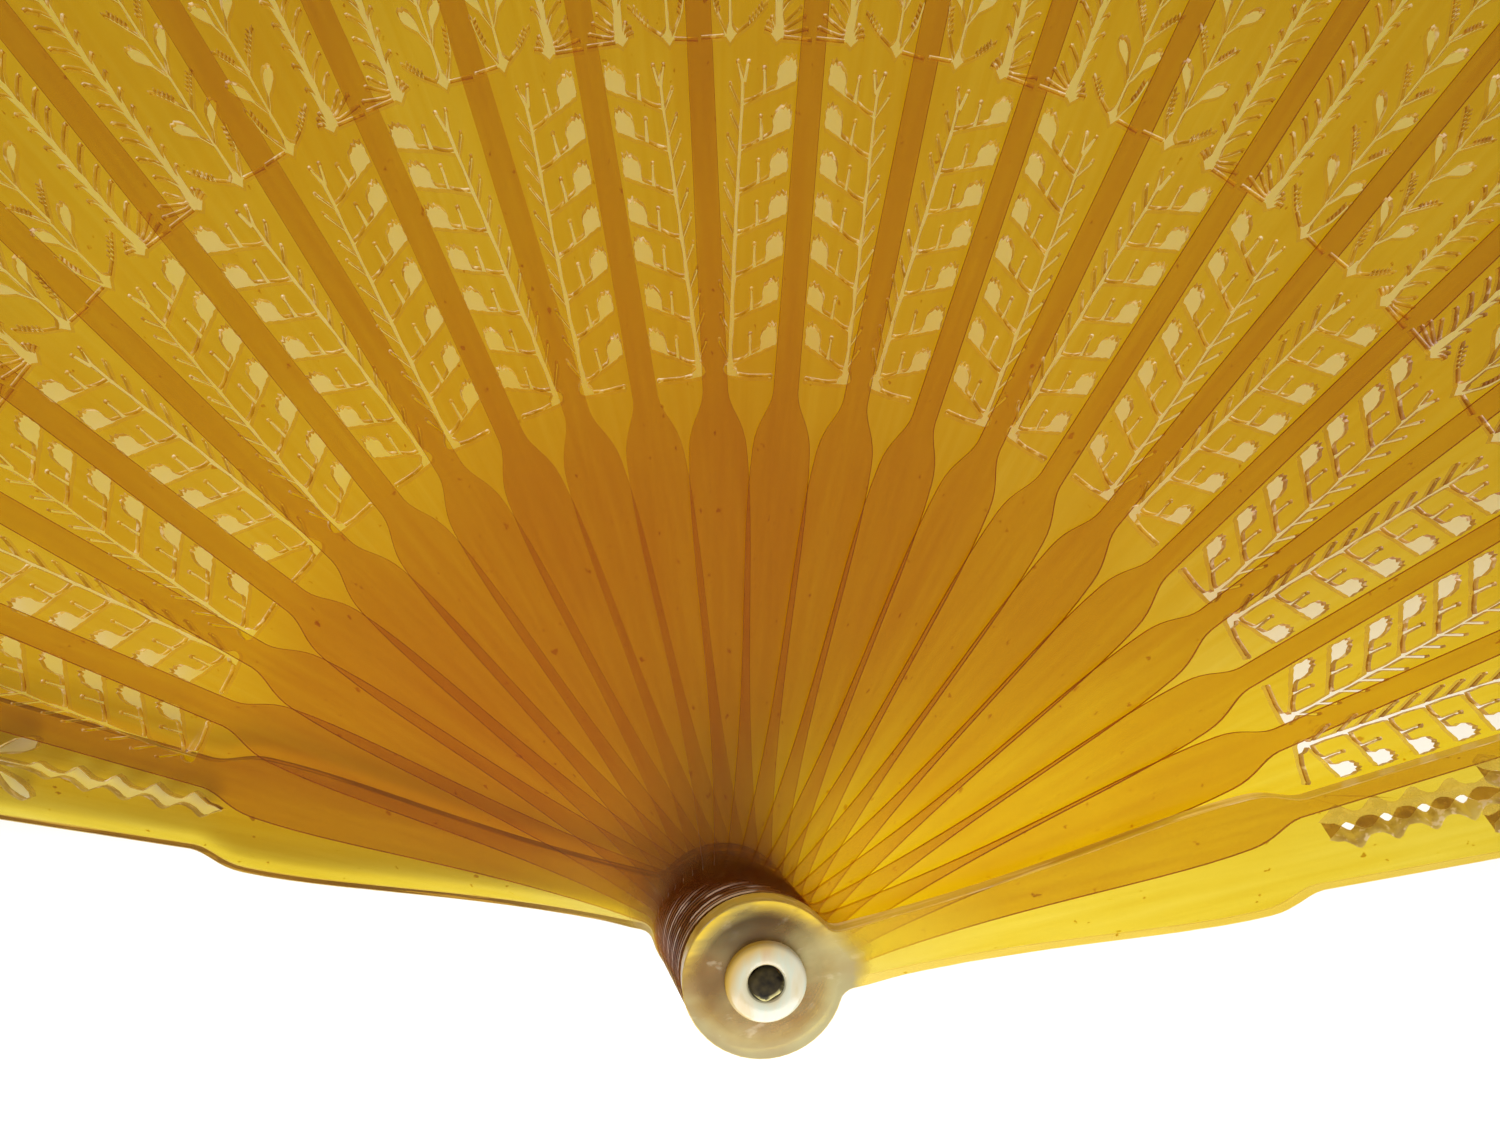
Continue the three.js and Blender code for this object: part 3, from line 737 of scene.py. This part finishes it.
# %% Sound lines
TRIES, SEED_STEP = 40, 1000


def tidy(points, least=0.02):
    """Drops points that lie closer than least to the one before."""
    kept = []
    for p in points:
        if not kept or math.dist(p, kept[-1]) > least:
            kept.append(p)
    while math.dist(kept[0], kept[-1]) <= least:
        kept.pop()
    return kept


def crosses(points):
    """Whether a closed line crosses itself, which would turn the filling inside out."""
    a = np.array(points)
    b = np.roll(a, -1, axis=0)

    def side(p, q, r):
        way, off = q - p, r - p
        return way[..., 0] * off[..., 1] - way[..., 1] * off[..., 0]

    a1, b1, a2, b2 = a[:, None], b[:, None], a[None], b[None]
    return bool(((side(a1, b1, a2) * side(a1, b1, b2) < 0) & (side(a2, b2, a1) * side(a2, b2, b1) < 0)).any())


def sound(draw, seed):
    """Draws a plant again with other random numbers until its line doesn't cross itself."""
    for attempt in range(TRIES):
        points = tidy(draw(random.Random(seed + SEED_STEP * attempt)))
        if not crosses(points):
            return points
    raise ValueError(f"{draw.__name__} always crosses itself")


print("the first frond crosses itself:", crosses(frond(random.Random(1))))

# %% [markdown]
# A two-dimensional curve object is a fretworker's tool: give it an outer line and the lines of the holes, and it
# fills the sheet between them, gives it thickness and eases the sharp edges with a small bevel. Cutting each opening
# out of a solid sheet with a Boolean would be slower and could fail. The filled curve then becomes a mesh.

# %% Flat sheet
STICK_EASE, GUARD_EASE = 0.03, 0.09


def signed_area(points):
    return sum(a[0] * b[1] - b[0] * a[1] for a, b in zip(points, points[1:] + points[:1])) / 2


def flat_sheet(name, outline, holes, thickness, ease):
    curve = bpy.data.curves.new(name, "CURVE")
    curve.dimensions = "2D"
    curve.fill_mode = "BOTH"
    curve.extrude = (thickness / 2 - ease) * MM
    curve.bevel_depth = ease * MM
    curve.offset = -ease * MM
    curve.bevel_resolution = 0
    for points, sense in [(outline, -1)] + [(hole, 1) for hole in holes]:
        points = tidy(points)
        if signed_area(points) * sense < 0:
            points = points[::-1]
        spline = curve.splines.new("POLY")
        spline.points.add(len(points) - 1)
        spline.points.foreach_set("co", [c for x, y in points for c in (x * MM, y * MM, 0, 1)])
        spline.use_cyclic_u = True
    maker = bpy.data.objects.new(name, curve)
    scene.collection.objects.link(maker)
    mesh = bpy.data.meshes.new_from_object(maker.evaluated_get(bpy.context.evaluated_depsgraph_get()))
    bpy.data.objects.remove(maker)
    bpy.data.curves.remove(curve)
    return mesh


test = flat_sheet("test_sheet", stick_outline(), [frond(random.Random(1))], 0.5, STICK_EASE)
print("test sheet:", len(test.vertices), "vertices")
bpy.data.meshes.remove(test)

# %% [markdown]
# The flat sheet is cut across at a few radii, and its height is then set by the stick's side profile: thick at the
# head, a short ramp, and a blade that thins to the tip. The saw was held a little askew, so the cuts slant: their
# lower line lies to one side of the upper one, and through the clear horn it shows as a paler band beside each
# opening. Last, each face gets a number for its material, by which way it faces and where it lies.

# %% Side profile and slanted cuts
STICK_SLANT = (0.0, -0.3)
SAWN_R, SAWN_MARGIN = (47.6, 118.0), 0.8
HEAD_LAND, RAMP_L, CROSS_CUTS = 1.6, 3.5, (30, 60, 90, 120)
RIVET_ZONE_R, BLADE_R, ARCH_R, EDGE_BAND = 3, 50, 140, 0.25
FLAT_FACE, EASED_EDGE, SHEET_CREASE = 0.9, 0.4, 32


def on_outline(x, y):
    """Whether a wall belongs to the stick's outline. The others are the walls of holes and openings."""
    if y < BLADE_R:
        return math.hypot(x, y) > RIVET_ZONE_R
    return y > ARCH_R or abs(x) > half_width(y) - EDGE_BAND


def shape_profile(mesh, thickness, head_t, blade_t, tip_t, slant):
    """Sets the side profile and the slant of the cuts. Materials: flat faces, sawn walls, outer walls, outer rims."""
    land, ramp = HEAD_R + HEAD_LAND, HEAD_R + HEAD_LAND + RAMP_L

    def height(r):
        if r <= land:
            return head_t
        if r <= ramp:
            return lerp(head_t, blade_t, (r - land) / RAMP_L)
        return lerp(blade_t, tip_t, (r - ramp) / (TIP_R - ramp))

    bm = bmesh.new()
    bm.from_mesh(mesh)
    bmesh.ops.remove_doubles(bm, verts=bm.verts, dist=1e-7)
    for r in (land, ramp, *CROSS_CUTS):
        everything = bm.verts[:] + bm.edges[:] + bm.faces[:]
        bmesh.ops.bisect_plane(bm, geom=everything, dist=1e-7, plane_co=(0, r * MM, 0), plane_no=(0, 1, 0))
    for v in bm.verts:
        share = v.co.z / (thickness * MM) + 0.5
        x, y = v.co.x / MM, v.co.y / MM
        v.co.z = share * height(y) * MM
        if SAWN_R[0] < y < SAWN_R[1] and abs(x) < half_width(y) - SAWN_MARGIN:
            v.co.x += slant[0] * (1 - share) * MM
            v.co.y += slant[1] * (1 - share) * MM
    bmesh.ops.recalc_face_normals(bm, faces=bm.faces)
    for face in bm.faces:
        face.smooth = True
        x, y = (c / MM for c in face.calc_center_median()[:2])
        upright = abs(face.normal.z)
        if upright > FLAT_FACE:
            face.material_index = 0
        elif on_outline(x, y):
            face.material_index = 3 if upright > EASED_EDGE else 2
        else:
            face.material_index = 1
    bm.to_mesh(mesh)
    bm.free()
    mesh.set_sharp_from_angle(angle=math.radians(SHEET_CREASE))


print("the ramp behind the head ends at", HEAD_R + HEAD_LAND + RAMP_L, "mm")

# %% [markdown]
# Now the 21 inner sticks. Odd ones have their stems on the left and even ones on the right. The last few lie over the
# bare table, so their sawn walls get the painted plum shade instead of the painted golden glow. Each replaces its
# solid and turns with its own body.

# %% Inner sticks
BLADE_T, HEAD_T, TIP_T = 0.46, 0.66, 0.38
LAST_GOLD_GLOW_STICK, PLANT_SEED = 17, 100


def add_piece(name, mesh, materials, piece, node):
    made = bpy.data.objects.new(name, mesh)
    for material in materials:
        mesh.materials.append(material)
    scene.collection.objects.link(made)
    made.matrix_world = stick_matrix(piece)
    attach(made, piece_name(piece))
    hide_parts(node)


rivet_hole = arc((0, 0), HOLE_R, 0, 345, 23)
for piece in range(1, FRONT_GUARD):
    hand = 1 if piece % 2 else -1
    plants = [sound(draw, PLANT_SEED + piece) for draw in (frond, leafy_sprig, feathery_sprig)]
    holes = [[(hand * x, y) for x, y in plant] for plant in plants] + [rivet_hole, ribbon_slit()]
    mesh = flat_sheet(f"horn_stick_{piece:02d}", stick_outline(), holes, BLADE_T, STICK_EASE)
    shape_profile(mesh, BLADE_T, HEAD_T, BLADE_T, TIP_T, STICK_SLANT)
    # Sticks over the bare table get the painted plum shade, the others the painted golden glow.
    wall = walls["plum_wall_painted_shade" if piece > LAST_GOLD_GLOW_STICK else "gold_wall_painted_glow"]
    faces = [stick_horn, wall, stick_edge, stick_horn]
    add_piece(f"horn_stick_{piece:02d}", mesh, faces, piece, f"stick_{piece:02d}")
print("sticks made:", STICKS, "last has", len(mesh.polygons), "faces")

# %% [markdown]
# The two guards are thicker, and one opening runs up the middle of each: a barley twist that swings from side to
# side in lozenges with thin links between them, and then a thin stem with pairs of leaves that hang back towards the
# rivet. The cut slants through the thick horn, so its walls show beside the opening like the strands of a rope.

# %% Guards
GUARD_T, GUARD_TIP_T = 1.9, 1.3
TWIST_LOOPS, TWIST_PITCH = 5, 3.58
GUARD_CUTS = {
    0: {"foot": 48.7, "first_leaves": 70.0, "swell": 1.12, "slant": (-0.2, 0.0), "edge": "rear_edge"},
    FRONT_GUARD: {"foot": 52.0, "first_leaves": 71.0, "swell": 1.35, "slant": (-1.2, 0.0), "edge": "front_edge"},
}
LEAF_PAIRS, LEAF_NODE_PITCH, LEAF_LEAN, LEAF_L, STEM_TOP_R = 4, 11.5, 148, 5.2, 116.0
LAST_SWELL, GUARD_HOLE_R, GUARD_SEED = 0.7, 1.52, 7
TWIST_RIGHT = [(0.05, 0.1), (0.24, 0.2), (0.42, 0.5), (0.54, 0.8),
               (0.62, 0.88), (0.7, 0.76), (0.8, 0.42), (0.9, 0.15)]
TWIST_LEFT = [(0.02, -0.3), (0.12, -0.5), (0.24, -0.8), (0.34, -0.92),
              (0.44, -0.82), (0.58, -0.52), (0.76, -0.26), (0.9, -0.2)]
DROOPING_LEAF = [(0, -0.16), (0.25, -0.17), (0.42, -0.42), (0.62, -0.66), (0.8, -0.62), (0.93, -0.5), (0.96, -0.2),
                 (1.0, 0.1), (0.94, 0.42), (0.8, 0.6), (0.62, 0.62), (0.42, 0.42), (0.25, 0.2), (0.03, 0.18)]


def guard_opening(rng, foot, first_leaves, swell):
    right, left = [(-0.1, foot - 0.4)], []
    for i in range(TWIST_LOOPS):
        wide = swell if i < TWIST_LOOPS - 1 else LAST_SWELL
        for line, swing in ((right, TWIST_RIGHT), (left, TWIST_LEFT)):
            line += [(x * wide + rng.uniform(-0.04, 0.04), foot + (i + s) * TWIST_PITCH) for s, x in swing]
    stem_r = foot + TWIST_LOOPS * TWIST_PITCH
    right.append((0.12, stem_r + 0.3))
    left.append((-0.16, stem_r + 0.3))
    for i in range(LEAF_PAIRS):
        node = first_leaves + LEAF_NODE_PITCH * i
        for line, hand in ((right, 1), (left, -1)):
            lean = 90 - hand * (LEAF_LEAN + rng.uniform(-3, 3))
            leaf = along((hand * 0.2, node), lean, LEAF_L + rng.uniform(-0.3, 0.3), DROOPING_LEAF, -hand * 12)
            line += [(hand * 0.16, node - 0.4)] + (leaf if hand > 0 else leaf[::-1])
    return right + [(0.15, STEM_TOP_R - 1.5), (0, STEM_TOP_R), (-0.15, STEM_TOP_R - 1.5)] + left[::-1]


guard_hole = arc((0, 0), GUARD_HOLE_R, 0, 345, 23)
for piece, cuts in GUARD_CUTS.items():
    name = "horn_" + piece_name(piece)
    opening = sound(
        lambda rng: guard_opening(rng, cuts["foot"], cuts["first_leaves"], cuts["swell"]), GUARD_SEED + piece
    )
    mesh = flat_sheet(name, stick_outline(), [opening, guard_hole], GUARD_T, GUARD_EASE)
    shape_profile(mesh, GUARD_T, GUARD_HEAD_T, GUARD_T, GUARD_TIP_T, cuts["slant"])
    faces = [guard_horn, walls["guard_wall"], walls[cuts["edge"]], walls["guard_rim_painted_glow"]]
    add_piece(name, mesh, faces, piece, piece_name(piece))
print("guards made, each opening has", len(opening), "points")

# %% [markdown]
# Rivet, washers and ribbon are all rings of points joined into a skin. A Screw modifier could turn the round ones,
# but the same few lines of mesh code also make a rod that leans and a ribbon that folds.

# %% Rings into a skin
RING_CREASE = 40


def ring_mesh(name, rings, closed_ends=True):
    """Joins rings of points, each a list of (x, y, z) in millimetres, into one skin."""
    bm = bmesh.new()
    rows = [[bm.verts.new((x * MM, y * MM, z * MM)) for x, y, z in ring] for ring in rings]
    for low, high in zip(rows, rows[1:]):
        for i in range(len(low)):
            bm.faces.new((low[i - 1], low[i], high[i], high[i - 1]))
    if closed_ends:
        bm.faces.new(rows[0][::-1])
        bm.faces.new(rows[-1])
    bmesh.ops.recalc_face_normals(bm, faces=bm.faces)
    for face in bm.faces:
        face.smooth = True
    mesh = bpy.data.meshes.new(name)
    bm.to_mesh(mesh)
    bm.free()
    mesh.set_sharp_from_angle(angle=math.radians(RING_CREASE))
    return mesh


print("edges sharper than", RING_CREASE, "degrees stay crisp")

# %% [markdown]
# The rivet is a metal rod hammered over at both ends, so each end is a rough disc with soft corners. It leans,
# because the sticks lie flat while their pile steps to one side. A ring of points at each height makes the rod, and
# the ends take a squarish outline with a little unevenness.

# %% Rivet shape
PIN_R, PIN_END_R, WASHER_T, RIVET_SIDES = 1.3, 1.55, 0.9, 40
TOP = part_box("pivot_pin")[1].z / MM


def rivet_ring(z, radius, square):
    lean = LEAN * (min(max(z, WASHER_T), TOP - WASHER_T) - WASHER_T)
    points = []
    for i in range(RIVET_SIDES):
        a = 2 * math.pi * i / RIVET_SIDES
        r = radius * (1 + square * (0.05 * math.cos(4 * a + 0.6) + 0.02 * math.sin(7 * a) - 0.05))
        points.append((lean + r * math.cos(a), r * math.sin(a), z))
    return points


end = [(0.0, 1.1, 1), (0.03, 1.45, 1), (0.12, PIN_END_R, 1), (0.3, 1.5, 0.6), (0.8, PIN_R, 0)]
rings = [rivet_ring(z, r, q) for z, r, q in end] + [rivet_ring(TOP - z, r, q) for z, r, q in end[::-1]]
print("rivet", round(TOP, 2), "mm long in", len(rings), "rings")

# %% [markdown]
# Old metal of this kind is brown-black. Fine noise pits the surface. A pale spot is a painted highlight: a distance
# from one point of the upper end makes it, on faces that look upwards only.

# %% Rivet metal
f = Finish("rivet_metal")
pits = f.span(f.noise(900.0, (1, 1, 1), 5.0), 0.35, 0.65, 0.0, 1.0)
# A pale spot near one point of the upper end: a painted highlight.
where = f.node("VectorMath", operation="DISTANCE")
f.link(f.place, where.inputs[0])
where.inputs[1].default_value = ((LEAN * (TOP - 2 * WASHER_T) - 0.25) * MM, 0.5 * MM, TOP * MM)
rivet_painted_glint = f.span(where.outputs["Value"], 0.0016, 0.0019, 0.0, 1.0)
rivet_painted_glint = f.math("MULTIPLY", rivet_painted_glint, f.span(pits, 0.3, 0.6, 0.1, 1.0))
upward = f.node("SeparateXYZ")
f.link(f.node("NewGeometry").outputs["Normal"], upward.inputs[0])
rivet_painted_glint = f.math("MULTIPLY", rivet_painted_glint, f.span(upward.outputs[2], 0.0, 0.3, 0.0, 1.0))
tone = f.colour(rivet_painted_glint, f.colour(pits, (0.006, 0.004, 0.002), (0.045, 0.032, 0.010)), (0.55, 0.48, 0.2))
rivet_metal = f.done(f.polish(f.shader("BsdfDiffuse", tone), 0.006, 0.2, 0.35))
rivet = bpy.data.objects.new("rivet", ring_mesh("rivet", rings))
rivet.data.materials.append(rivet_metal)
scene.collection.objects.link(rivet)
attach(rivet, "rear_guard")
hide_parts("pivot_pin")
print("rivet finished with", rivet_metal.name)

# %% [markdown]
# A washer lies under each end of the rivet. Its rims are rounded by wear, so its section is a list of points that is
# turned round the rivet as rings. The same list upside down serves for the underside.

# %% Washer shape
WASHER_R, WASHER_BORE, WASHER_SIDES = 3.5, 1.6, 64


def washer_rings(turned_over):
    profile = [(WASHER_BORE, 0.75), (1.72, 0.88), (1.9, WASHER_T), (3.1, WASHER_T), (3.3, 0.85), (3.44, 0.72),
               (WASHER_R, 0.55), (WASHER_R, 0.08), (3.42, 0.0), (1.45, 0.0), (1.4, 0.1), (WASHER_BORE, 0.75)]
    rings = []
    for r, z in profile:
        height = WASHER_T - z if turned_over else z
        angles = [2 * math.pi * i / WASHER_SIDES for i in range(WASHER_SIDES)]
        rings.append([(r * math.cos(a), r * math.sin(a), height) for a in angles])
    return rings


print("washer rings:", len(washer_rings(False)))

# %% [markdown]
# The washers are cut from mother-of-pearl: white, in places faintly pink or green in soft bands that follow the
# layers of the shell, and glossy. A colour ramp over long noise gives the bands. On the side towards the sticks the
# pearl is painted yellow, a painted glow for the light that reaches it through the horn.

# %% Pearl
SHELL_TINTS = ((0.36, (0.52, 0.39, 0.26)), (0.45, (0.54, 0.48, 0.32)), (0.52, (0.50, 0.52, 0.40)),
               (0.58, (0.56, 0.51, 0.36)), (0.66, (0.50, 0.41, 0.22)))
f = Finish("pearl")
bands = f.noise(420.0, (1, 0.25, 1), 3.0)
tints = f.node("ValToRGB")
for position, colour in SHELL_TINTS:
    stop = tints.color_ramp.elements.new(position)
    stop.color = (*colour, 1)
tints.color_ramp.elements[0].color = (0.52, 0.44, 0.27, 1)
tints.color_ramp.elements[-1].color = (0.54, 0.47, 0.31, 1)
f.link(bands, tints.inputs[0])
from_middle = f.radius()
# The side towards the sticks gets a painted yellow glow, standing for light that comes through the horn.
towards_sticks = f.node("VectorMath", operation="DOT_PRODUCT")
f.link(f.place, towards_sticks.inputs[0])
towards_sticks.inputs[1].default_value = (-0.82, 0.57, 0.0)
side = f.span(towards_sticks.outputs["Value"], -0.001, 0.0026, 0.0, 1.0)
painted_horn_light = f.math("MULTIPLY", f.span(from_middle, 0.0022, 0.0033, 0.2, 1.0), side)
inner = f.span(from_middle, 0.00165, 0.0021, 0.35, 0.0)
tone = f.colour(inner, f.colour(painted_horn_light, tints.outputs[0], (0.5, 0.3, 0.04)), (0.42, 0.3, 0.1))
pearl = f.done(f.polish(f.shader("BsdfDiffuse", tone), 0.05, 0.6, 0.14))
for node_name, turned_over in (("front_washer", False), ("rear_washer", True)):
    low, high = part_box(node_name)
    name = "pearl_" + node_name
    made = bpy.data.objects.new(name, ring_mesh(name, washer_rings(turned_over), False))
    made.data.materials.append(pearl)
    scene.collection.objects.link(made)
    made.location = ((low.x + high.x) / 2, (low.y + high.y) / 2, low.z)
    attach(made, "rear_guard")
    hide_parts(node_name)
print("washers made")

# %% [markdown]
# The ribbon lies outside the photograph, so it is kept plain: narrow, worn satin. Noise stretched along the strip
# gives its threads, and broad noise gives its soft creases.

# %% Ribbon silk
f = Finish("ribbon_silk")
threads = f.span(f.noise(5200.0, (0.12, 1, 1), 2.0), 0.35, 0.65, 0.0, 1.0)
folds = f.span(f.noise(240.0), 0.3, 0.7, 0.0, 1.0)
tone = f.colour(folds, f.colour(threads, (0.62, 0.47, 0.26), (0.80, 0.68, 0.46)), (0.70, 0.56, 0.34))
ribbon_silk = f.done(f.polish(f.shader("BsdfDiffuse", tone), 0.05, 0.5, 0.38))


print("silk:", ribbon_silk.name)

# %% [markdown]
# One length of ribbon goes from each stick to the next. It lies on the lower stick and folds up through the slit of
# the upper one. When the fan closes, real silk crumples between the sticks; here each length simply turns with the
# upper stick.

# %% Ribbon lengths
RIBBON_T, RIBBON_GAP, RIBBON_STEPS, RIBBON_ROWS = 0.12, 0.26, 20, 9
WAVE_H, FOLD_LIFTS, SEAT = 0.025, (0.1, 0.32, 0.54), 0.18


def ribbon_rings(piece):
    """Cross-sections of the ribbon in the upper piece's frame, from the lower stick to the fold."""
    start = STICK_ANGLE * (1 - RIBBON_GAP / (RIBBON_R * math.radians(STICK_ANGLE)))
    path = [(start * (1 - i / RIBBON_STEPS), 0.0) for i in range(RIBBON_STEPS)] + [(0.03, 0.0)]
    if piece < FRONT_GUARD:
        path += [(0.0, lift) for lift in FOLD_LIFTS]
    rings = []
    for angle, lift in path:
        cos, sin = math.cos(math.radians(angle)), math.sin(math.radians(angle))
        upright = min(lift / FOLD_LIFTS[0], 1.0)
        section = []
        for side in (0, 1):
            thick = RIBBON_T * (side - 0.5) * 0.8
            tangent = thick * upright
            for j in range(RIBBON_ROWS):
                v = j / (RIBBON_ROWS - 1) if side == 0 else 1 - j / (RIBBON_ROWS - 1)
                r = RIBBON_R + RIBBON_W * (v - 0.5)
                wave = WAVE_H * math.sin(9 * v + piece) * math.sin(math.pi * angle / STICK_ANGLE)
                height = lift - RIBBON_T + wave + thick * (1 - upright)
                section.append((tangent * cos - r * sin, r * cos + tangent * sin, height))
        rings.append(section)
    return rings


for piece in range(1, FRONT_GUARD + 1):
    name = f"silk_ribbon_{piece:02d}"
    mesh = ring_mesh(name, ribbon_rings(piece))
    made = bpy.data.objects.new(name, mesh)
    mesh.materials.append(ribbon_silk)
    scene.collection.objects.link(made)
    matrix = stick_matrix(piece)
    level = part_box(f"ribbon_{piece:02d}")[0].z + SEAT * MM
    matrix.translation.z = level
    made.matrix_world = matrix
    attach(made, piece_name(piece))
    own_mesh(made)
    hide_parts(f"ribbon_{piece:02d}")
print("ribbons made:", FRONT_GUARD, "the last at z", round(level / MM, 2))
